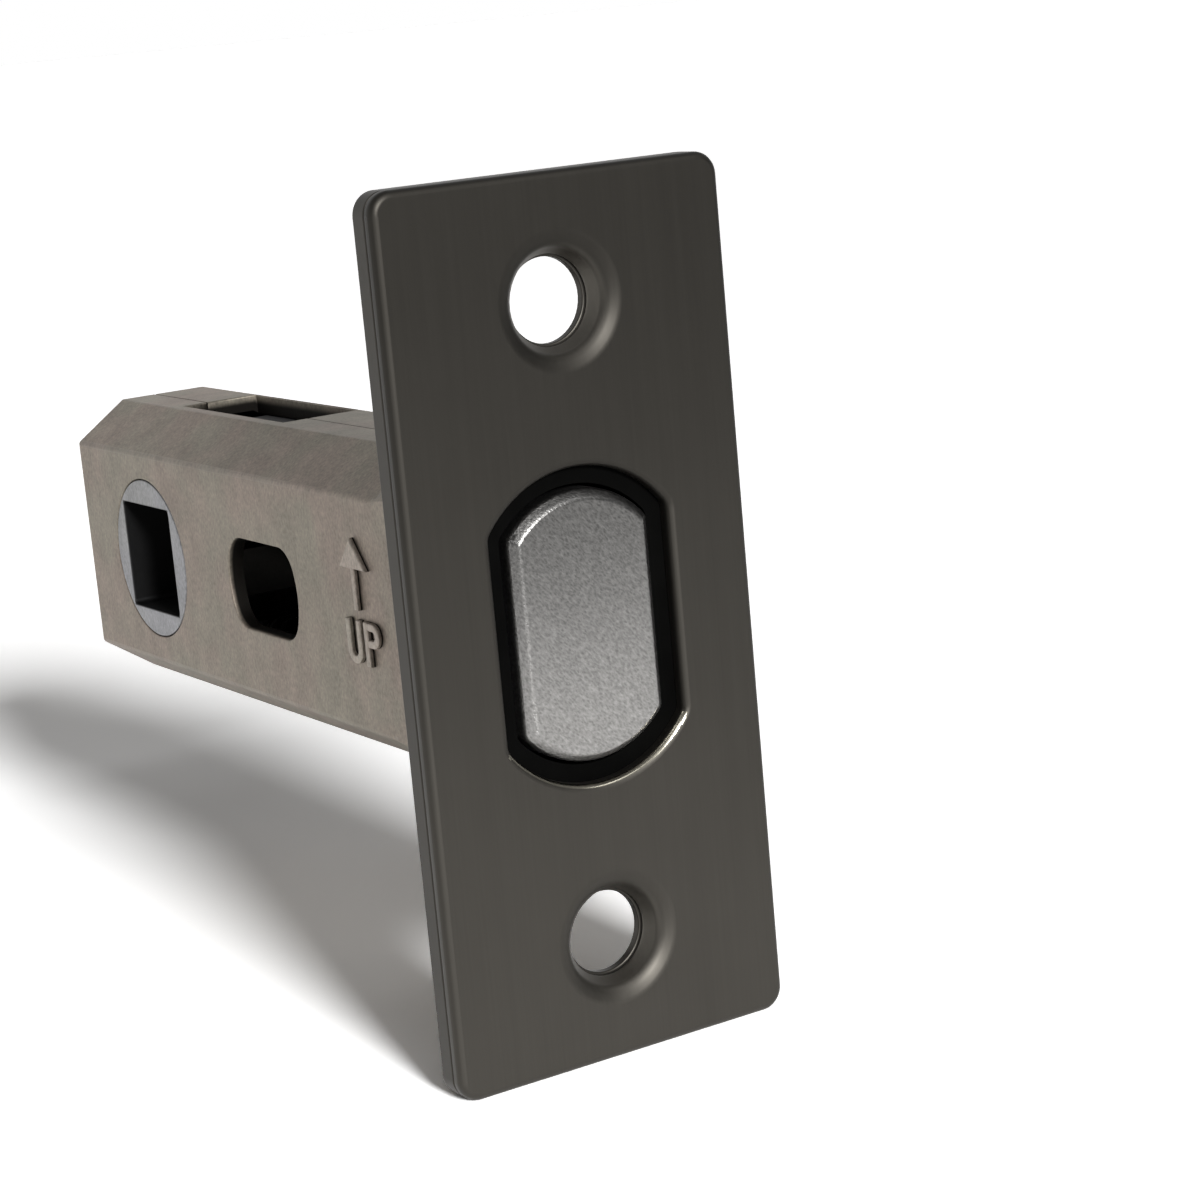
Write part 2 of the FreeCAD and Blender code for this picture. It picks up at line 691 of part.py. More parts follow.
def build_all():
    """Every sub-part of the latch by its name."""
    return {
        "front_plate": front_plate(),
        "back_plate": back_plate(),
        "case_near_half": case_half(-1),
        "case_far_half": case_half(1),
        "bolt_guide": bolt_guide(),
        "hub": hub(),
        "carriage": carriage(),
        "spring_rod": spring_rod(),
        "rod_clip": rod_clip(),
        "bolt_buffer": bolt_buffer(),
        "bolt_spring": bolt_spring(),
        "bolt": bolt(),
        "bolt_tail": bolt_tail(),
        "tail_pin": tail_pin_bar(0),
        "bolt_magnet": bolt_magnet(),
        "magnet_plug": magnet_plug(),
        "return_slide": return_slide(),
        "return_rod_near": return_rod(-1),
        "return_rod_far": return_rod(1),
        "return_spring_near": return_spring(-1),
        "return_spring_far": return_spring(1),
    }


os.makedirs("parts", exist_ok=True)
for name, shape in build_all().items():
    shape.exportStep(f"parts/{name}.step")
    print(f"{name}: {len(shape.Solids)} solid, valid {shape.isValid()}, {shape.Volume:.1f} mm3")
print(f"travel {travel:.3f} mm over {hub_sweep:.1f} degrees, bolt rear {bolt_rear_x:.3f}")
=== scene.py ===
"""Dresses a tubular door latch for rendering, on top of its fixed CAD frame.

Lengths are in metres in the frame's own axes: +X out of the door's edge, +Z up, and Y across the
door's thickness, with the latch's near side towards -Y. The camera stands in front on that side.
"""

import json
import logging
import math
from abc import ABC, abstractmethod
from dataclasses import dataclass, field
from enum import Enum
from typing import Mapping, Sequence, Union

import bmesh
import bpy
from mathutils import Matrix, Vector


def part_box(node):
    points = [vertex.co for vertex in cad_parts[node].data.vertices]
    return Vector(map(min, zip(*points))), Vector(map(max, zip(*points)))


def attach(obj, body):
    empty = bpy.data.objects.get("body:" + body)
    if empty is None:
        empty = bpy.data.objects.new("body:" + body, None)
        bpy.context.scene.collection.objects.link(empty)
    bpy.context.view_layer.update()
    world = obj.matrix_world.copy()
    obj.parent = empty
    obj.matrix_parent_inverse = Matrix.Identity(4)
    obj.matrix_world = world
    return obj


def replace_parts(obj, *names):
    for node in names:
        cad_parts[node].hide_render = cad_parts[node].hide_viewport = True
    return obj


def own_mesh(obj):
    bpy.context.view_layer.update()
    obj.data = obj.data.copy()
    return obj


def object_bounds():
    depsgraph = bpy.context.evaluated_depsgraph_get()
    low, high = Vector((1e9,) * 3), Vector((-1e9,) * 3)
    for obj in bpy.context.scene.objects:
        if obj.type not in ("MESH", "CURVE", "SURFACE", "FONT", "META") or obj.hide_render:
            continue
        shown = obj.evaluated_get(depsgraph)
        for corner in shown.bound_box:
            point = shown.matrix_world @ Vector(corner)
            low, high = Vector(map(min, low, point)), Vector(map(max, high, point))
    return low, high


log = logging.getLogger("latch")
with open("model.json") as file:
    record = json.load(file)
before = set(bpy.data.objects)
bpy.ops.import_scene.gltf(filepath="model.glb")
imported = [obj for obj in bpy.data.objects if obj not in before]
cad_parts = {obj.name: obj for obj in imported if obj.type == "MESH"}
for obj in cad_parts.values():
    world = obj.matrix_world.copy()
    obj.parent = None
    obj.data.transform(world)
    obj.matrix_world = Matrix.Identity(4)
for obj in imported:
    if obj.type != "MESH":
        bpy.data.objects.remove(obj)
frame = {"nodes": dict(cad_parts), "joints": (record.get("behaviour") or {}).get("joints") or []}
cad_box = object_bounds()

MM = 0.001
SAME_PLACE = 1e-6

Colour = tuple[float, float, float]
Triple = tuple[float, float, float]
Pair = tuple[float, float]


class Body(str, Enum):
    """The bodies of the frame that the new pieces ride on."""

    CASE = "case"
    HUB = "hub"
    CARRIAGE = "carriage"
    BOLT = "bolt"


class Slot(str, Enum):
    """The record's material slots, named for each new piece but not read."""

    FOREND = "forend_graphite"
    FOREND_BACK = "forend_back_steel"
    CASE = "case_casting"
    HUB = "hub_casting"
    BOLT = "bolt_satin"
    SPRING = "spring_wire"


class Grain(Enum):
    """The way that a brushed or drawn surface runs, as how far its marks are drawn out on each axis."""

    ALONG_X = (80.0, 1.0, 1.0)
    ALONG_Z = (1.0, 1.0, 80.0)


class Signal:
    """A number on a shader socket. Python's operators on it add Math nodes."""

    def __init__(self, recipe: "Recipe", socket: bpy.types.NodeSocket) -> None:
        """Wraps a socket.

        Args:
            recipe: the node tree that the socket belongs to.
            socket: an output socket with one number.
        """
        self.recipe = recipe
        self.socket = socket

    def __add__(self, other: "Number") -> "Signal":
        """self + other."""
        return self.recipe.maths("ADD", self, other)

    def __radd__(self, other: float) -> "Signal":
        """other + self."""
        return self.recipe.maths("ADD", other, self)

    def __sub__(self, other: "Number") -> "Signal":
        """self - other."""
        return self.recipe.maths("SUBTRACT", self, other)

    def __rsub__(self, other: float) -> "Signal":
        """other - self."""
        return self.recipe.maths("SUBTRACT", other, self)

    def __mul__(self, other: "Number") -> "Signal":
        """self * other."""
        return self.recipe.maths("MULTIPLY", self, other)

    def __rmul__(self, other: float) -> "Signal":
        """other * self."""
        return self.recipe.maths("MULTIPLY", other, self)

    def held(self, low: float, high: float) -> "Signal":
        """This number, kept between two others."""
        return self.recipe.maths("MAXIMUM", self, low).least(high)

    def least(self, other: "Number") -> "Signal":
        """This number or the other, whichever is lower."""
        return self.recipe.maths("MINIMUM", self, other)

    def most(self, other: "Number") -> "Signal":
        """This number or the other, whichever is higher."""
        return self.recipe.maths("MAXIMUM", self, other)

    def size(self) -> "Signal":
        """This number without its sign."""
        return self.recipe.maths("ABSOLUTE", self, 0.0)


Number = Union[float, Signal]
Feed = Union[float, Sequence[float], Signal, bpy.types.NodeSocket]


class Recipe:
    """The node tree of one material or of the world."""

    def __init__(self, tree: bpy.types.NodeTree, output: str) -> None:
        """Empties a tree and adds its output.

        Args:
            tree: the node tree to fill.
            output: the type of its output node.
        """
        self.tree = tree
        tree.nodes.clear()
        self.output = self.node(output)

    @classmethod
    def for_material(cls, name: str) -> tuple[bpy.types.Material, "Recipe"]:
        """A new material and the recipe that fills it."""
        material = bpy.data.materials.new(name)
        material.use_nodes = True
        return material, cls(material.node_tree, "ShaderNodeOutputMaterial")

    def node(self, kind: str, settings: Mapping[str, object] | None = None,
             values: Mapping[int | str, Feed] | None = None) -> bpy.types.Node:
        """Adds any node.

        Args:
            kind: the node's type.
            settings: its properties, or "stops" for a ramp, which are set first.
            values: what each input socket is set to or linked from.

        Returns:
            The node.
        """
        made = self.tree.nodes.new(kind)
        for name, setting in (settings or {}).items():
            if name == "stops":
                self._set_stops(made.color_ramp, setting)
            else:
                setattr(made, name, setting)
        for key, value in (values or {}).items():
            self.feed(made.inputs[key], value)
        return made

    @staticmethod
    def _set_stops(ramp: bpy.types.ColorRamp, stops: Sequence[tuple[float, Colour]]) -> None:
        """Gives a colour ramp its stops, from the lowest to the highest."""
        while len(ramp.elements) < len(stops):
            ramp.elements.new(1.0)
        for element, (place, colour) in zip(ramp.elements, stops):
            element.position = place
            element.color = (*colour, 1.0)

    def feed(self, socket: bpy.types.NodeSocket, value: Feed) -> None:
        """Sets an input socket to a value, or links it from another socket."""
        if isinstance(value, Signal):
            self.tree.links.new(value.socket, socket)
        elif isinstance(value, bpy.types.NodeSocket):
            self.tree.links.new(value, socket)
        elif socket.type == "RGBA":
            socket.default_value = (*value[:3], 1.0)
        else:
            socket.default_value = value

    def maths(self, operation: str, first: Number, second: Number) -> Signal:
        """One Math node's result."""
        made = self.node("ShaderNodeMath", {"operation": operation}, {0: first, 1: second})
        return Signal(self, made.outputs[0])

    def place(self, stretch: Triple = (1.0, 1.0, 1.0),
              turn: Triple = (0.0, 0.0, 0.0)) -> bpy.types.NodeSocket:
        """The surface's own coordinates.

        Args:
            stretch: how far marks are drawn out on each turned axis.
            turn: how far the axes are turned first, in radians.

        Returns:
            The coordinates.
        """
        coordinates = self.node("ShaderNodeTexCoord").outputs["Object"]
        mapping = self.node("ShaderNodeMapping", {"vector_type": "TEXTURE"},
                            {"Vector": coordinates, "Rotation": turn, "Scale": stretch})
        return mapping.outputs["Vector"]

    def axes(self) -> tuple[Signal, Signal, Signal]:
        """The surface's own X, Y and Z, in metres."""
        split = self.node("ShaderNodeSeparateXYZ", values={0: self.place()})
        return tuple(Signal(self, output) for output in split.outputs)

    def noise(self, at: bpy.types.NodeSocket, per_metre: float, detail: float = 3.0,
              roughness: float = 0.55, twist: float = 0.0) -> Signal:
        """Cloudy noise round one half, with per_metre clouds in a metre."""
        made = self.node("ShaderNodeTexNoise", values={
            "Vector": at, "Scale": per_metre, "Detail": detail, "Roughness": roughness, "Distortion": twist})
        return Signal(self, made.outputs["Fac"])

    def cells(self, at: bpy.types.NodeSocket, per_metre: float) -> Signal:
        """The distance to the nearest of a scatter of points, which makes pebbled grain."""
        made = self.node("ShaderNodeTexVoronoi", {"feature": "SMOOTH_F1"}, {"Vector": at, "Scale": per_metre})
        return Signal(self, made.outputs["Distance"])

    def ramp(self, factor: Signal, stops: Sequence[tuple[float, Colour]]) -> bpy.types.NodeSocket:
        """A colour for each value of a number."""
        return self.node("ShaderNodeValToRGB", {"stops": stops}, {"Fac": factor}).outputs["Color"]

    def contrast(self, factor: Signal, low: float, high: float) -> Signal:
        """A number stretched so that low becomes 0 and high becomes 1."""
        made = self.node("ShaderNodeMapRange", {"interpolation_type": "SMOOTHSTEP"},
                         {"Value": factor, "From Min": low, "From Max": high})
        return Signal(self, made.outputs["Result"])

    def mix(self, factor: Number, first: Feed, second: Feed, blend: str = "MIX") -> bpy.types.NodeSocket:
        """Two colours mixed; at factor 1 the second replaces the first."""
        made = self.node("ShaderNodeMix", {"data_type": "RGBA", "blend_type": blend},
                         {0: factor, 6: first, 7: second})
        return made.outputs[2]

    def mottled(self, base: Feed, tone: Signal, low: Pair, high: Pair) -> bpy.types.NodeSocket:
        """A colour made darker and lighter by a number.

        Args:
            base: the colour.
            tone: the number, from 0 to 1.
            low: a value of the number, and the factor on the colour there and below.
            high: the same for a higher value, there and above.

        Returns:
            The new colour.
        """
        grain = self.ramp(tone, [(place, (factor,) * 3) for place, factor in (low, high)])
        return self.mix(1.0, base, grain, "MULTIPLY")

    def bump(self, height: Signal, depth: float, strength: float = 1.0,
             under: bpy.types.NodeSocket | None = None) -> bpy.types.NodeSocket:
        """A normal for small relief.

        Args:
            height: the relief, from 0 to 1.
            depth: how deep it is, in metres.
            strength: how much of it shows.
            under: a normal that it is laid over.

        Returns:
            The new normal.
        """
        values: dict[int | str, Feed] = {"Height": height, "Distance": depth, "Strength": strength}
        if under is not None:
            values["Normal"] = under
        return self.node("ShaderNodeBump", values=values).outputs["Normal"]

    def surface(self, **inputs: Feed) -> None:
        """Ends the tree in a Principled surface; an input's name has _ for a space."""
        named = {key.replace("_", " "): value for key, value in inputs.items()}
        shader = self.node("ShaderNodeBsdfPrincipled", values=named)
        self.feed(self.output.inputs["Surface"], shader.outputs[0])


@dataclass(frozen=True)
class Finish(ABC):
    """One surface finish, which makes its material."""

    name: str
    colour: Colour
    roughness: float

    @abstractmethod
    def fill(self, recipe: Recipe) -> None:
        """Fills the material's nodes.

        Args:
            recipe: the material's empty tree.
        """

    def material(self) -> bpy.types.Material:
        """The finish's material, made when it is first asked for."""
        known = bpy.data.materials.get(self.name)
        if known is not None:
            return known
        made, recipe = Recipe.for_material(self.name)
        made.diffuse_color = (*self.colour, 1.0)
        self.fill(recipe)
        return made

    def shade(self, factor: float) -> Colour:
        """This finish's colour, lighter or darker by a factor."""
        return tuple(min(1.0, part * factor) for part in self.colour)

    def colour_with_painted_shading(self, recipe: Recipe, share: float, reach: float) -> bpy.types.NodeSocket:
        """This finish's colour with painted shade, darker towards the top of a piece and lighter towards its
        foot.

        Args:
            recipe: the material's tree.
            share: how much darker and lighter, from 0 to 1.
            reach: how far above and below the latch's axis the change runs, in metres.

        Returns:
            The colour.
        """
        _, _, z = recipe.axes()
        low = 1.0 - recipe.contrast(z, -reach, reach)
        return recipe.mix(low, self.shade(1.0 - share), self.shade(1.0 + share))


@dataclass(frozen=True)
class BrushedMetal(Finish):
    """Plated metal over a fine brush that runs one way."""

    grain: Grain = Grain.ALONG_Z
    lines_per_metre: float = 5200.0
    line_depth: float = 0.0012 * MM
    colour_spread: float = 0.10
    gloss_spread: float = 0.10
    darkest_at: float = 0.32
    lightest_at: float = 0.68
    # How much painted shade darkens the top and lightens the foot, and how far above and below the axis it
    # runs.
    painted_shade_share: float = 0.0
    painted_shade_reach: float = 28.5 * MM

    def fill(self, recipe: Recipe) -> None:
        """Fine long streaks in colour, gloss and relief, over faint clouds and the painted shade."""
        along = recipe.place(self.grain.value)
        fine = recipe.noise(along, self.lines_per_metre, 4.0, 0.7)
        broad = recipe.noise(along, self.lines_per_metre / 6.0, 2.0)
        clouds = recipe.noise(recipe.place(), 120.0, 2.0)
        streaks = fine * 0.7 + broad * 0.3
        tone = (streaks * 0.7 + clouds * 0.3).held(0.0, 1.0)
        base = recipe.mottled(self.colour_with_painted_shading(recipe, self.painted_shade_share, self.painted_shade_reach), tone,
                              (self.darkest_at, 1.0 - self.colour_spread),
                              (self.lightest_at, 1.0 + self.colour_spread))
        recipe.surface(Base_Color=base, Metallic=1.0,
                       Roughness=self.roughness + (streaks - 0.5) * self.gloss_spread,
                       Normal=recipe.bump(streaks, self.line_depth))


@dataclass(frozen=True)
class DimpledMetal(BrushedMetal):
    """Brushed metal with painted light down the slopes of two pressed dimples, above and below the axis, over
    the painted shade.
    """

    screw_height: float = 20.5 * MM
    dimple_reach: float = 5.2 * MM
    rim_growth: float = 1.1
    slope_depth: float = 0.8 * MM
    slope_start: float = 0.3
    # How much lighter the painted light makes the colour on the dimple slopes.
    painted_slope_light: float = 2.6

    def colour_with_painted_shading(self, recipe: Recipe, share: float, reach: float) -> bpy.types.NodeSocket:
        """The colour with painted shade, and painted light down the dimple slopes.

        Args:
            recipe: the material's tree.
            share: how much darker and lighter the colour gets up and down the piece.
            reach: how far above and below the latch's axis that change runs, in metres.

        Returns:
            The colour.
        """
        x, y, z = recipe.axes()
        away = y.size().most((z.size() - self.screw_height).size())
        near = 1.0 - recipe.contrast(away, self.dimple_reach, self.dimple_reach * self.rim_growth)
        slope = near * recipe.contrast(0.0 - x, self.slope_depth * self.slope_start, self.slope_depth)
        return recipe.mix(slope, super().colour_with_painted_shading(recipe, share, reach), self.shade(self.painted_slope_light))


@dataclass(frozen=True)
class CastMetal(Finish):
    """Bare die-cast metal: a matt skin with upright grain, faint tints and small pits."""

    tint_a: Colour = (1.03, 0.985, 0.98)
    tint_b: Colour = (0.975, 1.01, 0.975)
    grain_per_metre: float = 4600.0
    grain_depth: float = 0.010 * MM
    metallic: float = 0.9
    hollows: Pair = (0.3, 0.58)
    crests: Pair = (0.7, 1.40)
    pit_share: float = 0.5
    pit_shade: float = 0.45
    # The colour's factor under painted shade and along a dark parting line.
    painted_shade_and_seam_factor: float = 0.05

    def fill(self, recipe: Recipe) -> None:
        """Pebbled upright grain, two drifting tints and darker pits."""
        upright = recipe.place((1.0, 1.0, 1.7))
        plain = recipe.place()
        grain = recipe.noise(upright, self.grain_per_metre, 4.0, 0.65)
        mottle = recipe.noise(upright, self.grain_per_metre / 9.0, 3.0, 0.6, 0.4)
        drift = recipe.contrast(recipe.noise(plain, 170.0, 2.0), 0.35, 0.65)
        pits = recipe.contrast(recipe.noise(plain, self.grain_per_metre * 0.4, 2.0), 0.70, 0.78)
        first = tuple(c * t for c, t in zip(self.colour, self.tint_a))
        second = tuple(c * t for c, t in zip(self.colour, self.tint_b))
        base = recipe.mix(drift, first, second)
        tone = (grain * 0.7 + mottle * 0.3).held(0.0, 1.0)
        base = recipe.mottled(base, tone, self.hollows, self.crests)
        base = recipe.mix(pits * self.pit_share, base, self.shade(self.pit_shade))
        base = recipe.mix(self.painted_shade_and_seam_mask(recipe), base, self.shade(self.painted_shade_and_seam_factor))
        relief = grain * 0.8 + mottle * 0.4 - pits * 0.6
        recipe.surface(Base_Color=base, Metallic=self.metallic,
                       Roughness=self.roughness + (grain - 0.5) * 0.2,
                       Normal=recipe.bump(relief, self.grain_depth))

    def painted_shade_and_seam_mask(self, recipe: Recipe) -> Number:
        """How far painted shade, and a dark parting line where there is one, cover the surface, from 0 to 1.
        """
        return 0.0


@dataclass(frozen=True)
class CaseSection:
    """The case's eight-sided section and rear face, which tell how deep a point lies under its skin."""

    half_width: float = 7.6 * MM
    half_height: float = 10.8 * MM
    facet_drop: float = 2.8 * MM
    facet_width: float = 4.1 * MM
    rear_x: float = -62.0 * MM

    def facet(self) -> Triple:
        """The facet's normal across Y and up Z, and its distance from the case's axis."""
        length = math.hypot(self.facet_drop, self.facet_width)
        across, up = self.facet_drop / length, self.facet_width / length
        return across, up, across * self.half_width + up * (self.half_height - self.facet_drop)

    def depth(self, point: Vector) -> float:
        """How deep a point lies under the nearest side or the rear face."""
        across, up, distance = self.facet()
        return min(self.half_width - abs(point.y), self.half_height - abs(point.z),
                   distance - across * abs(point.y) - up * abs(point.z), point.x - self.rear_x)

    def depth_signal(self, recipe: Recipe) -> Signal:
        """The same depth, as a number in a shader."""
        x, y, z = recipe.axes()
        across, up, distance = self.facet()
        side = (self.half_width - y.size()).least(self.half_height - z.size())
        return side.least(distance - y.size() * across - z.size() * up).least(x - self.rear_x)


@dataclass(frozen=True)
class HollowCasting(CastMetal):
    """Cast metal with painted shade deep inside the case and on the fixing passage's walls, and a dark
    parting line.
    """

    section: CaseSection = CaseSection()
    passage_x: float = -31.0 * MM
    passage_half_length: float = 5.6 * MM
    passage_half_height: float = 3.6 * MM
    blend: float = 0.2 * MM
    inside_shade_band: Pair = (0.18 * MM, 0.66 * MM)
    passage_shade_band: Pair = (0.12 * MM, 0.42 * MM)
    seam_y: float = -0.7 * MM
    seam_reach: float = 0.09 * MM
    seam_core: float = 0.3

    def painted_shade_and_seam_mask(self, recipe: Recipe) -> Number:
        """Painted shade deep under the skin and just under it in the passage, and a dark line along the
        parting line.
        """
        x, y, z = recipe.axes()
        inside = recipe.contrast(self.section.depth_signal(recipe), *self.inside_shade_band)
        along = 1.0 - recipe.contrast((x - self.passage_x).size(), self.passage_half_length,
                                      self.passage_half_length + self.blend)
        up = 1.0 - recipe.contrast(z.size(), self.passage_half_height, self.passage_half_height + self.blend)
        under = recipe.contrast(self.section.half_width - y.size(), *self.passage_shade_band)
        seam = 1.0 - recipe.contrast((y - self.seam_y).size(), self.seam_reach * self.seam_core,
                                     self.seam_reach)
        return inside.most(along * up * under).most(seam)


@dataclass(frozen=True)
class BoredCasting(CastMetal):
    """Cast metal with painted shade on the walls of a square hole along Y."""

    centre_x: float = -50.0 * MM
    half_square: float = 4.05 * MM
    rim: float = 0.12 * MM

    def painted_shade_and_seam_mask(self, recipe: Recipe) -> Number:
        """Painted shade on the walls of the square."""
        x, _, z = recipe.axes()
        reach = (x - self.centre_x).size().most(z.size())
        return 1.0 - recipe.contrast(reach, self.half_square, self.half_square + self.rim)


@dataclass(frozen=True)
class RaisedCasting(CastMetal):
    """Cast metal with painted shade towards the foot of its relief."""

    foot_y: float = -7.6 * MM
    painted_shade_height: float = 0.16 * MM
    unshaded_share: float = 0.5

    def painted_shade_and_seam_mask(self, recipe: Recipe) -> Number:
        """Painted shade at the foot, which lies at foot_y, and none at the top."""
        _, y, _ = recipe.axes()
        return recipe.contrast(y, self.foot_y - self.painted_shade_height,
                               self.foot_y - self.painted_shade_height * self.unshaded_share)


@dataclass(frozen=True)
class SatinCasting(Finish):
    """Satin plating over a fine leathery casting."""

    grain_per_metre: float = 6800.0
    grain_depth: float = 0.034 * MM
    lean: float = -45.0
    hollows: Pair = (0.30, 0.66)
    crests: Pair = (0.70, 1.30)
    # How much painted shade darkens the top and lightens the foot, and how far above and below the axis it
    # runs.
    painted_shade_share: float = 0.0
    painted_shade_reach: float = 8.75 * MM

    def fill(self, recipe: Recipe) -> None:
        """A slanting leathery grain with darker hollows, over painted shade that may darken it upwards."""
        at = recipe.place((1.0, 2.0, 1.0), (math.radians(self.lean), 0.0, 0.0))
        pebbles = recipe.cells(at, self.grain_per_metre)
        clouds = recipe.noise(at, self.grain_per_metre * 1.3, 3.0, 0.6, 0.5)
        tone = (pebbles * 0.4 + clouds * 0.6).held(0.0, 1.0)
        base = recipe.mottled(self.colour_with_painted_shading(recipe, self.painted_shade_share, self.painted_shade_reach), tone, self.hollows, self.crests)
        recipe.surface(Base_Color=base, Metallic=1.0, Roughness=self.roughness + (clouds - 0.5) * 0.2,
                       Normal=recipe.bump(tone, self.grain_depth))


@dataclass(frozen=True)
class Moulding(Finish):
    """Moulded nylon or rubber with a very fine skin."""

    skin_per_metre: float = 4200.0
    skin_depth: float = 0.006 * MM
    sheen: float = 0.25

    def fill(self, recipe: Recipe) -> None:
        """Fine skin relief, and flow marks that change the gloss a little."""
        skin = recipe.noise(recipe.place(), self.skin_per_metre, 3.0)
        flow = recipe.noise(recipe.place((2.5, 1.0, 1.0)), 260.0, 2.0, 0.5, 0.8)
        base = recipe.ramp(flow, [(0.3, self.shade(0.8)), (0.7, self.shade(1.25))])
        recipe.surface(Base_Color=base, Roughness=self.roughness + (flow - 0.5) * 0.2,
                       Specular_IOR_Level=self.sheen, Normal=recipe.bump(skin, self.skin_depth))


class Finishes:
    """Every finish on the latch."""

    # Painted shade makes the plate darker towards its top and lighter towards its foot, with painted light on
    # its dimple slopes.
    FOREND = DimpledMetal("brushed_graphite", (0.0425, 0.0397, 0.0350), 0.48, colour_spread=0.08, painted_shade_share=0.30)
    # A painted highlight on the lower part of the opening's chamfer.
    OPENING_HIGHLIGHT = BrushedMetal("graphite_edge_painted_highlight", (0.25, 0.235, 0.195), 0.20, colour_spread=0.05)
    FOREND_BACK = BrushedMetal("dark_plated_steel", (0.046, 0.043, 0.038), 0.46)
    # The case's colour takes painted shade inside and in the fixing passage, and a dark parting line.
    CASE = HollowCasting("warm_die_casting", (0.226, 0.198, 0.168), 0.56)
    # The mark is the case's casting painted lighter, a painted highlight, with painted shade at its foot.
    MARK = RaisedCasting("raised_die_casting", (0.285, 0.258, 0.225), 0.50, painted_shade_and_seam_factor=0.06)
    # The hub's colour takes painted shade in its square hole.
    HUB = BoredCasting("cool_die_casting", (0.24, 0.24, 0.245), 0.5, tint_a=(1.0, 1.0, 1.02),
                       tint_b=(1.0, 1.0, 0.98), grain_depth=0.006 * MM)
    # Painted shade makes the bolt darker towards its top and lighter towards its foot.
    BOLT = SatinCasting("satin_plated_bolt", (0.218, 0.214, 0.208), 0.33, painted_shade_share=0.40)
    STEEL = BrushedMetal("zinc_plated_steel", (0.50, 0.50, 0.49), 0.34, grain=Grain.ALONG_X)
    WIRE = BrushedMetal("spring_steel_wire", (0.42, 0.42, 0.41), 0.28, grain=Grain.ALONG_X,
                        lines_per_metre=7000.0)
    MAGNET = SatinCasting("nickel_plating", (0.58, 0.55, 0.51), 0.22, grain_per_metre=1800.0,
                          grain_depth=0.002 * MM)
    GUIDE = Moulding("black_nylon", (0.0014, 0.0014, 0.0013), 0.6, sheen=0.012)
    CARRIAGE = Moulding("glass_filled_nylon", (0.010, 0.010, 0.011), 0.6, skin_per_metre=2600.0)
    RUBBER = Moulding("black_rubber", (0.016, 0.016, 0.016), 0.8, skin_per_metre=1800.0)


def settle(name: str, shape: bmesh.types.BMesh, finish: Finish, body: Body, slot: Slot,
           smooth_below: float = 35.0) -> bpy.types.Object:
    """Turns a finished bmesh into a piece of the latch.

    Args:
        name: the piece's name.
        shape: its mesh, which is freed.
        finish: what it is finished in.
        body: the body that it rides on.
        slot: not used.
        smooth_below: faces that meet at less than this many degrees shade as one.

    Returns:
        The new object, at the origin.
    """
    mesh = bpy.data.meshes.new(name)
    shape.to_mesh(mesh)
    shape.free()
    mesh.shade_smooth()
    mesh.set_sharp_from_angle(angle=math.radians(smooth_below))
    mesh.materials.append(finish.material())
    piece = bpy.data.objects.new(name, mesh)
    bpy.context.scene.collection.objects.link(piece)
    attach(piece, body.value)
    log.info("%s: %d faces, rides on %s", name, len(mesh.polygons), body.value)
    return piece


def even_normals(piece: bpy.types.Object, weight: int = 100) -> None:
    """Lets the broad faces of a piece shade flat, the more so with more weight, and its eased edges round."""
    even = piece.modifiers.new("even_normals", "WEIGHTED_NORMAL")
    even.mode = "FACE_AREA"
    even.weight = weight
    even.keep_sharp = True


def dress(node: str, finish: Finish) -> None:
    """Gives a CAD node its finish.

    Args:
        node: the node's name.
        finish: what it is finished in.
    """
    for slot in frame["nodes"][node].material_slots:
        slot.material = finish.material()
    log.info("%s: CAD solid in %s", node, finish.name)


@dataclass(frozen=True)
class EasedCopy:
    """A copy of a CAD node with its edges eased, which stands for the node.

    Points closer than gather are drawn together first, so that a corner finer than the easing stays clean.
    """

    node: str
    body: Body
    slot: Slot
    finish: Finish
    ease: float
    flattest: float = 15.0
    flat_within: float = 0.4
    smooth_below: float = 40.0
    steps: int = 3
    gather: float = SAME_PLACE

    def build(self) -> bpy.types.Object:
        """Merges a copy of the node's mesh and rounds the edges that are wanted.

        Returns:
            The new piece.
        """
        shape = bmesh.new()
        shape.from_mesh(frame["nodes"][self.node].data)
        bmesh.ops.remove_doubles(shape, verts=shape.verts, dist=self.gather)
        self.reshape(shape)
        bmesh.ops.dissolve_limit(shape, angle_limit=math.radians(self.flat_within), verts=shape.verts,
                                 edges=shape.edges)
        self.divide(shape)
        weight = shape.edges.layers.float.new("bevel_weight_edge")
        for edge in shape.edges:
            edge[weight] = 1.0 if self.eases(edge) else 0.0
        self.mark_faces(shape)
        piece = settle(f"{self.node}_eased", shape, self.finish, self.body, self.slot, self.smooth_below)
        bevel = piece.modifiers.new("eased_edges", "BEVEL")
        bevel.width = self.ease
        bevel.segments = self.steps
        bevel.profile = 0.5
        bevel.limit_method = "WEIGHT"
        bevel.use_clamp_overlap = False
        even_normals(piece)
        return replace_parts(piece, self.node)

    def eases(self, edge: bmesh.types.BMEdge) -> bool:
        """True for an edge that is rounded."""
        return edge.calc_face_angle(0.0) > math.radians(self.flattest)

    def reshape(self, shape: bmesh.types.BMesh) -> None:
        """Moves points where the real piece is finer than the solid."""

    def divide(self, shape: bmesh.types.BMesh) -> None:
        """Cuts across edges that are eased only in part."""

    def mark_faces(self, shape: bmesh.types.BMesh) -> None:
        """Gives faces another material where the piece has more than one."""


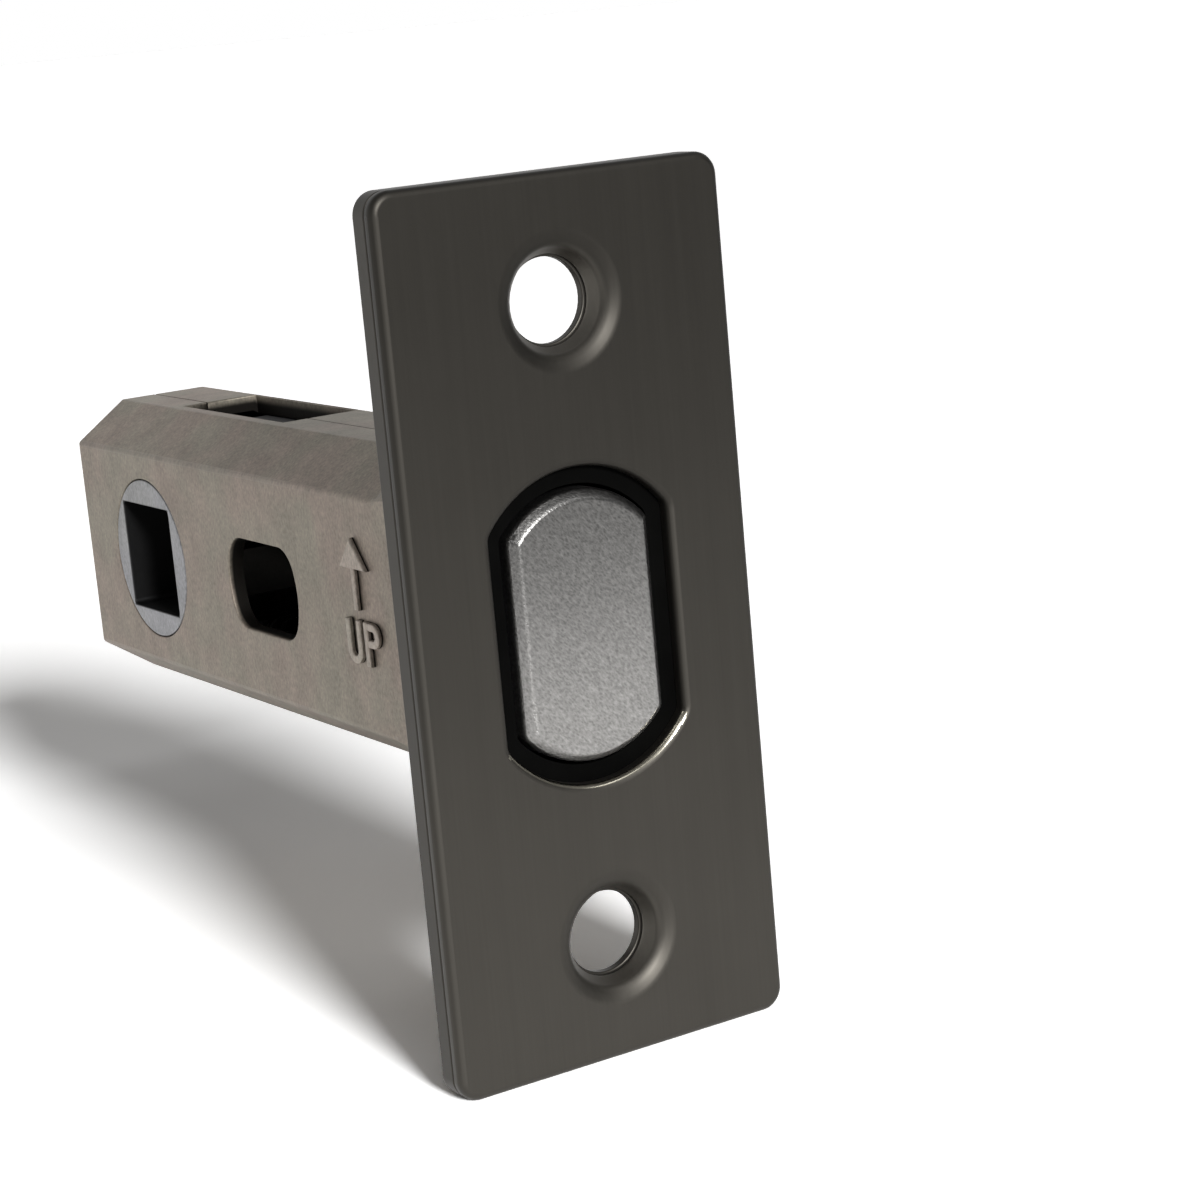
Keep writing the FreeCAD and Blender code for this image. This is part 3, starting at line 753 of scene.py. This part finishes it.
@dataclass(frozen=True)
class EasedCasting(EasedCopy):
    """A half of the case, eased round its openings and along its seam behind the front block."""

    section: CaseSection = CaseSection()
    front_x: float = -13.5 * MM
    skin: float = 0.02 * MM
    squarest: float = 60.0

    def divide(self, shape: bmesh.types.BMesh) -> None:
        """Cuts the casting across behind the front block, where the eased seam ends."""
        bmesh.ops.bisect_plane(shape, geom=[*shape.verts, *shape.edges, *shape.faces], dist=SAME_PLACE,
                               plane_co=(self.front_x, 0, 0), plane_no=(1, 0, 0))

    def eases(self, edge: bmesh.types.BMEdge) -> bool:
        """True for a square edge in the outer skin, behind the front block."""
        if edge.calc_face_angle(0.0) < math.radians(self.squarest):
            return False
        back = self.front_x + SAME_PLACE
        return all(v.co.x < back and self.section.depth(v.co) < self.skin for v in edge.verts)


@dataclass(frozen=True)
class ForendPlate(EasedCopy):
    """A plate of the forend, whose four corners are tighter than the solid's."""

    solid_corner: float = 2.5 * MM
    corner: float = 1.5 * MM

    def reshape(self, shape: bmesh.types.BMesh) -> None:
        """Slides each corner's arc outwards and makes its radius smaller by as much."""
        _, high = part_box(self.node)
        gain = self.solid_corner - self.corner
        for vert in shape.verts:
            arc = Vector((abs(vert.co.y) - high[1], abs(vert.co.z) - high[2]))
            arc += Vector((self.solid_corner, self.solid_corner))
            if min(arc) > -SAME_PLACE:
                arc.normalize()
                vert.co.y += math.copysign(gain * (1.0 - arc.x), vert.co.y)
                vert.co.z += math.copysign(gain * (1.0 - arc.y), vert.co.z)


@dataclass(frozen=True)
class FrontPlate(ForendPlate):
    """The front plate, with tighter dimple mouths and a painted highlight on its chamfer under the bolt."""

    # The finish that paints a highlight on the lower part of the opening's chamfer.
    painted_highlight: Finish = Finishes.OPENING_HIGHLIGHT
    eased_above: float = -0.6 * MM
    screw_height: float = 20.5 * MM
    mouth_reach: float = 5.0 * MM
    mouth_depth: float = 0.7 * MM
    mouth_gain: float = 0.40 * MM
    opening_reach: float = 12.0 * MM
    opening_half_width: float = 8.4 * MM
    painted_highlight_below: float = -6.9 * MM
    shallowest: float = 0.3
    steepest: float = 0.9

    def build(self) -> bpy.types.Object:
        """Eases the plate and adds the painted highlight's finish.

        Returns:
            The new piece.
        """
        piece = super().build()
        piece.data.materials.append(self.painted_highlight.material())
        return piece

    def reshape(self, shape: bmesh.types.BMesh) -> None:
        """Tightens the corners, and draws in the rim of each dimple."""
        super().reshape(shape)
        for vert in shape.verts:
            reach = Vector((vert.co.y, abs(vert.co.z) - self.screw_height))
            if reach.length < self.mouth_reach and vert.co.x > -self.mouth_depth:
                reach.length -= self.mouth_gain
                vert.co.y = reach.x
                vert.co.z = math.copysign(reach.y + self.screw_height, vert.co.z)

    def eases(self, edge: bmesh.types.BMEdge) -> bool:
        """True for an edge on the plate's front."""
        return super().eases(edge) and all(v.co.x > self.eased_above for v in edge.verts)

    def mark_faces(self, shape: bmesh.types.BMesh) -> None:
        """Gives the lower part of the opening's chamfer the second material, a painted highlight."""
        for face in shape.faces:
            middle = face.calc_center_median()
            if -self.opening_reach < middle.z < self.painted_highlight_below and abs(middle.y) < self.opening_half_width:
                if self.shallowest < face.normal.x < self.steepest:
                    face.material_index = 1


@dataclass(frozen=True)
class CoilSpring:
    """A wound spring with closed ends, which keeps its length as its joint moves."""

    node: str
    body: Body
    joint: str
    turns: int
    wire_radius: float
    wire_sides: int = 10
    steps_per_turn: int = 30
    coil_gap: float = 0.03 * MM
    smooth_below: float = 50.0

    def build(self) -> bpy.types.Object:
        """Winds the wire by turning its round section, a ring across Z, about the spring's axis.

        Returns:
            The new piece.
        """
        low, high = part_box(self.node)
        centre = Vector((0.0, (low[1] + high[1]) / 2, (low[2] + high[2]) / 2))
        mean_radius = (high[2] - low[2]) / 2 - self.wire_radius
        start = low[0] + self.wire_radius
        finish = high[0] - self.wire_radius
        closed_pitch = 2 * self.wire_radius + self.coil_gap
        open_pitch = (finish - start - 2 * closed_pitch) / (self.turns - 2)
        shape = bmesh.new()
        ring = bmesh.ops.create_circle(shape, segments=self.wire_sides, radius=self.wire_radius)["verts"]
        bmesh.ops.translate(shape, verts=ring, vec=(start, centre.y + mean_radius, centre.z))
        last: list[bmesh.types.BMVert | bmesh.types.BMEdge] = list(ring) + list(shape.edges)
        for turns, pitch in ((1, closed_pitch), (self.turns - 2, open_pitch), (1, closed_pitch)):
            spun = bmesh.ops.spin(shape, geom=last, cent=centre, axis=(1, 0, 0), angle=2 * math.pi * turns,
                                  dvec=(pitch / self.steps_per_turn, 0, 0), steps=turns * self.steps_per_turn,
                                  use_merge=False, use_duplicate=False)
            last = [g for g in spun["geom_last"] if not isinstance(g, bmesh.types.BMFace)]
        bmesh.ops.holes_fill(shape, edges=shape.edges, sides=0)
        bmesh.ops.recalc_face_normals(shape, faces=shape.faces)
        piece = settle(f"{self.node}_coil", shape, Finishes.WIRE, self.body, Slot.SPRING, self.smooth_below)
        travel = next(j for j in frame["joints"] if j["name"] == self.joint)["range_m"][1]
        keep = 1.0 - travel / (high[0] - low[0])
        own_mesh(piece)
        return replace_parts(piece, self.node)


@dataclass
class RaisedMark:
    """The arrow and the word UP, which stand on the near side of the case."""

    face: float
    stroke: float = 0.56 * MM
    relief: float = 0.30 * MM
    sunk: float = 0.08 * MM
    tier: float = 0.02 * MM
    top_round: float = 0.12 * MM
    round_steps: int = 3
    squarest: float = 60.0
    arrow_x: float = -16.3 * MM
    arrow_tip: float = 5.3 * MM
    arrow_foot: float = 0.4 * MM
    head_height: float = 2.1 * MM
    head_half_width: float = 1.8 * MM
    shaft_width: float = 0.50 * MM
    letter_top: float = -0.25 * MM
    letter_height: float = 3.05 * MM
    u_left: float = -18.0 * MM
    letter_width: float = 2.0 * MM
    p_left: float = -15.55 * MM
    bowl_share: float = 0.56
    arc_steps: int = 12
    shape: bmesh.types.BMesh = field(default_factory=bmesh.new)

    def build(self) -> bpy.types.Object:
        """Draws every stroke and joins them in one piece.

        Returns:
            The new piece.
        """
        self._arrow()
        self._letter_u()
        self._letter_p()
        mark = settle("up_mark", self.shape, Finishes.MARK, Body.CASE, Slot.CASE)
        even_normals(mark)
        return mark

    def _begin(self, x: float, z: float, heading: float, width: float) -> list[bmesh.types.BMEdge]:
        """The edge across a stroke's start.

        Args:
            x: the start's middle.
            z: its height.
            heading: the way that the stroke sets off, in degrees up from +X.
            width: the stroke's width.

        Returns:
            The edge, in a list.
        """
        across = Vector((-math.sin(math.radians(heading)), 0.0, math.cos(math.radians(heading))))
        middle = Vector((x, self.face + self.sunk, z))
        ends = [self.shape.verts.new(middle + across * (side * width / 2)) for side in (-1, 1)]
        return [self.shape.edges.new(ends)]

    def _run(self, edges: list[bmesh.types.BMEdge], dx: float, dz: float) -> list[bmesh.types.BMEdge]:
        """Draws the stroke on by a straight run and returns its new end."""
        drawn = bmesh.ops.extrude_edge_only(self.shape, edges=edges)["geom"]
        bmesh.ops.translate(self.shape, verts=[g for g in drawn if isinstance(g, bmesh.types.BMVert)],
                            vec=(dx, 0, dz))
        return [g for g in drawn if isinstance(g, bmesh.types.BMEdge) and g.is_boundary
                and all(v in drawn for v in g.verts)]

    def _turn(self, edges: list[bmesh.types.BMEdge], x: float, z: float,
              degrees: float) -> list[bmesh.types.BMEdge]:
        """Draws the stroke round a centre and returns its new end."""
        start = list(edges[0].verts) + list(edges)
        spun = bmesh.ops.spin(self.shape, geom=start, cent=(x, self.face + self.sunk, z), axis=(0, -1, 0),
                              angle=math.radians(degrees), steps=self.arc_steps, use_merge=False,
                              use_duplicate=False)
        return [g for g in spun["geom_last"] if isinstance(g, bmesh.types.BMEdge)]

    def _raise(self, known: set[bmesh.types.BMFace], tiers_down: int) -> None:
        """Makes the newly drawn ribbon a solid stroke with round corners.

        Args:
            known: the faces that were there before the ribbon.
            tiers_down: how many small steps lower than full relief it stands, so that strokes that
                cross don't share a face.
        """
        ribbon = [f for f in self.shape.faces if f not in known]
        flat = {e for f in ribbon for e in f.edges}
        height = self.relief + self.sunk - tiers_down * self.tier
        grown = bmesh.ops.extrude_face_region(self.shape, geom=ribbon, use_keep_orig=True)["geom"]
        bmesh.ops.translate(self.shape, verts=[g for g in grown if isinstance(g, bmesh.types.BMVert)],
                            vec=(0, -height, 0))
        solid = [f for f in self.shape.faces if f not in known]
        bmesh.ops.recalc_face_normals(self.shape, faces=solid)
        top_y = self.face + self.sunk - height
        rim = [e for e in {e for f in solid for e in f.edges} - flat
               if all(abs(v.co.y - top_y) < SAME_PLACE for v in e.verts)
               and e.calc_face_angle(0.0) > math.radians(self.squarest)]
        bmesh.ops.bevel(self.shape, geom=rim, offset=self.top_round, offset_type="OFFSET",
                        segments=self.round_steps, profile=0.5, affect="EDGES", material=-1,
                        clamp_overlap=True)

    def _arrow(self) -> None:
        """An upright arrow: a solid head, and a thinner shaft a little lower."""
        known = set(self.shape.faces)
        base = self.arrow_tip - self.head_height
        outline = ((self.arrow_x - self.head_half_width, base), (self.arrow_x + self.head_half_width, base),
                   (self.arrow_x, self.arrow_tip))
        corners = [self.shape.verts.new((x, self.face + self.sunk, z)) for x, z in outline]
        bmesh.ops.contextual_create(self.shape, geom=corners)
        self._raise(known, 0)
        known = set(self.shape.faces)
        end = self._begin(self.arrow_x, self.arrow_foot, 90.0, self.shaft_width)
        self._run(end, 0.0, base + self.shaft_width - self.arrow_foot)
        self._raise(known, 1)

    def _letter_u(self) -> None:
        """The letter U in one stroke."""
        known = set(self.shape.faces)
        radius = (self.letter_width - self.stroke) / 2
        left = self.u_left + self.stroke / 2
        turn_z = self.letter_top - self.letter_height + self.stroke / 2 + radius
        end = self._begin(left, self.letter_top, -90.0, self.stroke)
        end = self._run(end, 0.0, turn_z - self.letter_top)
        end = self._turn(end, left + radius, turn_z, 180.0)
        self._run(end, 0.0, self.letter_top - turn_z)
        self._raise(known, 0)

    def _letter_p(self) -> None:
        """The letter P: its stem, and its bowl a little lower."""
        known = set(self.shape.faces)
        stem = self.p_left + self.stroke / 2
        end = self._begin(stem, self.letter_top - self.letter_height, 90.0, self.stroke)
        self._run(end, 0.0, self.letter_height)
        self._raise(known, 0)
        known = set(self.shape.faces)
        radius = (self.letter_height * self.bowl_share - self.stroke) / 2
        straight = self.letter_width - self.stroke - radius
        high = self.letter_top - self.stroke / 2 - self.tier
        end = self._begin(stem, high, 0.0, self.stroke)
        end = self._run(end, straight, 0.0)
        end = self._turn(end, stem + straight, high - radius, -180.0)
        self._run(end, -straight, 0.0)
        self._raise(known, 1)


class SubAssembly(ABC):
    """A group of pieces that goes together on the bench."""

    @abstractmethod
    def build(self) -> None:
        """Makes and dresses the group's pieces."""


@dataclass
class Forend(SubAssembly):
    """The two plates that sit in the door's edge."""

    front_ease: float = 0.19 * MM
    back_ease: float = 0.10 * MM

    def build(self) -> None:
        """Eases both plates."""
        FrontPlate("front_plate", Body.CASE, Slot.FOREND, Finishes.FOREND, self.front_ease).build()
        ForendPlate("back_plate", Body.CASE, Slot.FOREND_BACK, Finishes.FOREND_BACK, self.back_ease).build()


@dataclass
class CaseShell(SubAssembly):
    """The two cast halves and the raised mark."""

    edge_ease: float = 0.12 * MM

    def build(self) -> None:
        """Eases the castings' edges and adds the mark on the near side."""
        for node in ("case_near_half", "case_far_half"):
            EasedCasting(node, Body.CASE, Slot.CASE, Finishes.CASE, self.edge_ease).build()
        low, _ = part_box("case_near_half")
        RaisedMark(face=low[1]).build()


@dataclass
class HubWorks(SubAssembly):
    """The hub, the slide under it and the springs that turn it back."""

    hub_ease: float = 0.10 * MM
    spring_turns: int = 9
    spring_wire: float = 0.30 * MM

    def build(self) -> None:
        """Eases the hub and winds the two return springs."""
        EasedCopy("hub", Body.HUB, Slot.HUB, Finishes.HUB, self.hub_ease).build()
        for node in ("return_slide", "return_rod_near", "return_rod_far"):
            dress(node, Finishes.STEEL)
        for node in ("return_spring_near", "return_spring_far"):
            CoilSpring(node, Body.CASE, "return_slide_move", self.spring_turns, self.spring_wire).build()


@dataclass
class CarriageWorks(SubAssembly):
    """The carriage above the hub, with its rod, clip, buffer and light spring."""

    spring_turns: int = 6
    spring_wire: float = 0.25 * MM

    def build(self) -> None:
        """Dresses the carriage's pieces and winds its spring."""
        dress("carriage", Finishes.CARRIAGE)
        dress("spring_rod", Finishes.STEEL)
        dress("rod_clip", Finishes.STEEL)
        dress("bolt_buffer", Finishes.RUBBER)
        CoilSpring("bolt_spring", Body.CARRIAGE, "bolt_slide", self.spring_turns, self.spring_wire).build()


@dataclass
class BoltWorks(SubAssembly):
    """The bolt with its tail, pin and magnet, and the guide that it slides in."""

    nose_ease: float = 0.18 * MM
    corner_gather: float = 0.06 * MM

    def build(self) -> None:
        """Rounds the bolt's chamfered nose and dresses the pieces behind it."""
        EasedCopy("bolt", Body.BOLT, Slot.BOLT, Finishes.BOLT, self.nose_ease,
                  gather=self.corner_gather).build()
        dress("bolt_guide", Finishes.GUIDE)
        dress("bolt_tail", Finishes.STEEL)
        dress("tail_pin", Finishes.STEEL)
        dress("bolt_magnet", Finishes.MAGNET)
        dress("magnet_plug", Finishes.GUIDE)


@dataclass(frozen=True, kw_only=True)
class Lamp(ABC):
    """A lamp that faces the latch."""

    name: str
    azimuth: float
    elevation: float
    distance: float = 0.6

    @abstractmethod
    def light(self) -> bpy.types.Light:
        """The lamp's own data."""

    def build(self, aim: Vector) -> None:
        """Hangs the lamp.

        Args:
            aim: the point that it faces.
        """
        turn, lift = math.radians(self.azimuth), math.radians(self.elevation)
        away = Vector((math.cos(lift) * math.cos(turn), math.cos(lift) * math.sin(turn), math.sin(lift)))
        lamp = bpy.data.objects.new(self.name, self.light())
        lamp.location = aim + away * self.distance
        lamp.rotation_euler = away.to_track_quat("Z", "Y").to_euler()
        bpy.context.scene.collection.objects.link(lamp)
        log.info("%s: %.0f degrees round, %.0f up", self.name, self.azimuth, self.elevation)


@dataclass(frozen=True, kw_only=True)
class SoftBox(Lamp):
    """A soft oblong lamp."""

    width: float
    height: float
    watts: float

    def light(self) -> bpy.types.Light:
        """A level oblong area light."""
        data = bpy.data.lights.new(self.name, "AREA")
        data.shape = "RECTANGLE"
        data.size = self.width
        data.size_y = self.height
        data.energy = self.watts
        return data


@dataclass(frozen=True, kw_only=True)
class Sun(Lamp):
    """A far lamp that lights the whole floor alike."""

    strength: float
    spread: float
    colour: Colour = (1.0, 1.0, 1.0)

    def light(self) -> bpy.types.Light:
        """A sun whose disc is spread degrees wide."""
        data = bpy.data.lights.new(self.name, "SUN")
        data.energy = self.strength
        data.angle = math.radians(self.spread)
        data.color = self.colour
        return data


@dataclass
class Studio:
    """The floor, the lamps, the surroundings and the camera."""

    camera_place: Triple = (151.57 * MM, -93.29 * MM, 38.60 * MM)
    camera_aim: Triple = (0.0, 0.87 * MM, 1.55 * MM)
    camera_roll: float = 5.18
    focal_pixels: float = 2901.0
    frame_pixels: float = 1200.0
    sensor_width: float = 36.0
    floor_reach: float = 12.0
    floor_colour: Colour = (0.90, 0.90, 0.90)
    floor_seen: Colour = (1.46, 1.46, 1.46)
    daylight: float = 0.05
    daylight_colour: Colour = (1.0, 0.94, 0.87)
    front_tone: float = 0.15
    back_tone: float = 1.0
    zenith_tone: float = 0.45
    front_band: Pair = (-0.5, 0.6)
    zenith_band: Pair = (0.2, 0.8)
    nearest_seen: float = 10.0 * MM
    lamps: tuple[Lamp, ...] = (
        Sun(name="key_sun", azimuth=-8.0, elevation=22.0, strength=5.5, spread=13.0,
            colour=(0.99, 0.99, 0.99)),
        SoftBox(name="edge_lamp", azimuth=0.0, elevation=51.0, width=0.90, height=0.06, watts=1.15),
        SoftBox(name="side_lamp", azimuth=-115.0, elevation=15.0, width=0.50, height=0.50, watts=0.25),
    )

    def build(self) -> None:
        """Sets the whole stage."""
        self._floor()
        self._surroundings()
        for lamp in self.lamps:
            lamp.build(Vector(self.camera_aim))
        self._camera()
        bpy.context.scene.view_settings.view_transform = "Standard"

    def _floor(self) -> None:
        """A wide pale floor under the forend's lower end, which the camera and the metal see as white."""
        shape = bmesh.new()
        bmesh.ops.create_grid(shape, x_segments=1, y_segments=1, size=self.floor_reach)
        bmesh.ops.translate(shape, verts=shape.verts, vec=(0, 0, cad_box[0][2]))
        mesh = bpy.data.meshes.new("floor")
        shape.to_mesh(mesh)
        shape.free()
        material, recipe = Recipe.for_material("pale_floor")
        rays = recipe.node("ShaderNodeLightPath")
        seen = Signal(recipe, rays.outputs["Is Camera Ray"]) + Signal(recipe, rays.outputs["Is Glossy Ray"])
        colour = recipe.mix(seen.held(0.0, 1.0), self.floor_colour, self.floor_seen)
        diffuse = recipe.node("ShaderNodeBsdfDiffuse", values={"Color": colour})
        recipe.feed(recipe.output.inputs["Surface"], diffuse.outputs[0])
        mesh.materials.append(material)
        floor = bpy.data.objects.new("floor", mesh)
        bpy.context.scene.collection.objects.link(floor)

    def _surroundings(self) -> None:
        """Plain daylight: white to the camera, toned in reflections, and warm in the shade."""
        world = bpy.data.worlds.new("surroundings")
        world.use_nodes = True
        bpy.context.scene.world = world
        recipe = Recipe(world.node_tree, "ShaderNodeOutputWorld")
        rays = recipe.node("ShaderNodeLightPath")
        camera = Signal(recipe, rays.outputs["Is Camera Ray"])
        through = Signal(recipe, rays.outputs["Is Transmission Ray"])
        glossy = Signal(recipe, rays.outputs["Is Glossy Ray"]) + through
        way = recipe.node("ShaderNodeSeparateXYZ",
                          values={0: recipe.node("ShaderNodeTexCoord").outputs["Generated"]})
        frontward = recipe.contrast(Signal(recipe, way.outputs["X"]), *self.front_band)
        upward = recipe.contrast(Signal(recipe, way.outputs["Z"]), *self.zenith_band)
        horizon = frontward * (self.front_tone - self.back_tone) + self.back_tone
        reflected = horizon * (1.0 - upward) + upward * self.zenith_tone
        other = (1.0 - camera) * (1.0 - glossy) * self.daylight
        strength = camera + (1.0 - camera) * glossy.held(0.0, 1.0) * reflected + other.held(0.0, 1.0)
        seen = (camera + glossy).held(0.0, 1.0)
        colour = recipe.mix(seen, self.daylight_colour, (1.0, 1.0, 1.0))
        shader = recipe.node("ShaderNodeBackground", values={"Strength": strength, "Color": colour})
        recipe.feed(recipe.output.inputs["Surface"], shader.outputs[0])

    def _camera(self) -> None:
        """The camera at the photograph's place, with its slight roll."""
        data = bpy.data.cameras.new("camera")
        data.sensor_width = self.sensor_width
        data.lens = self.focal_pixels / self.frame_pixels * self.sensor_width
        data.clip_start = self.nearest_seen
        camera = bpy.data.objects.new("camera", data)
        away = Vector(self.camera_place) - Vector(self.camera_aim)
        turn = away.to_track_quat("Z", "Y").to_matrix().to_4x4()
        roll = Matrix.Rotation(math.radians(-self.camera_roll), 4, "Z")
        camera.matrix_world = Matrix.Translation(self.camera_place) @ turn @ roll
        bpy.context.scene.collection.objects.link(camera)
        bpy.context.scene.camera = camera


def main() -> None:
    """Builds the latch's dressed pieces and the studio."""
    logging.basicConfig(level=logging.INFO, format="%(name)s: %(message)s")
    for part in (Forend(), CaseShell(), HubWorks(), CarriageWorks(), BoltWorks()):
        log.info("%s", type(part).__name__)
        part.build()
    Studio().build()


if __name__ == "__main__":
    main()
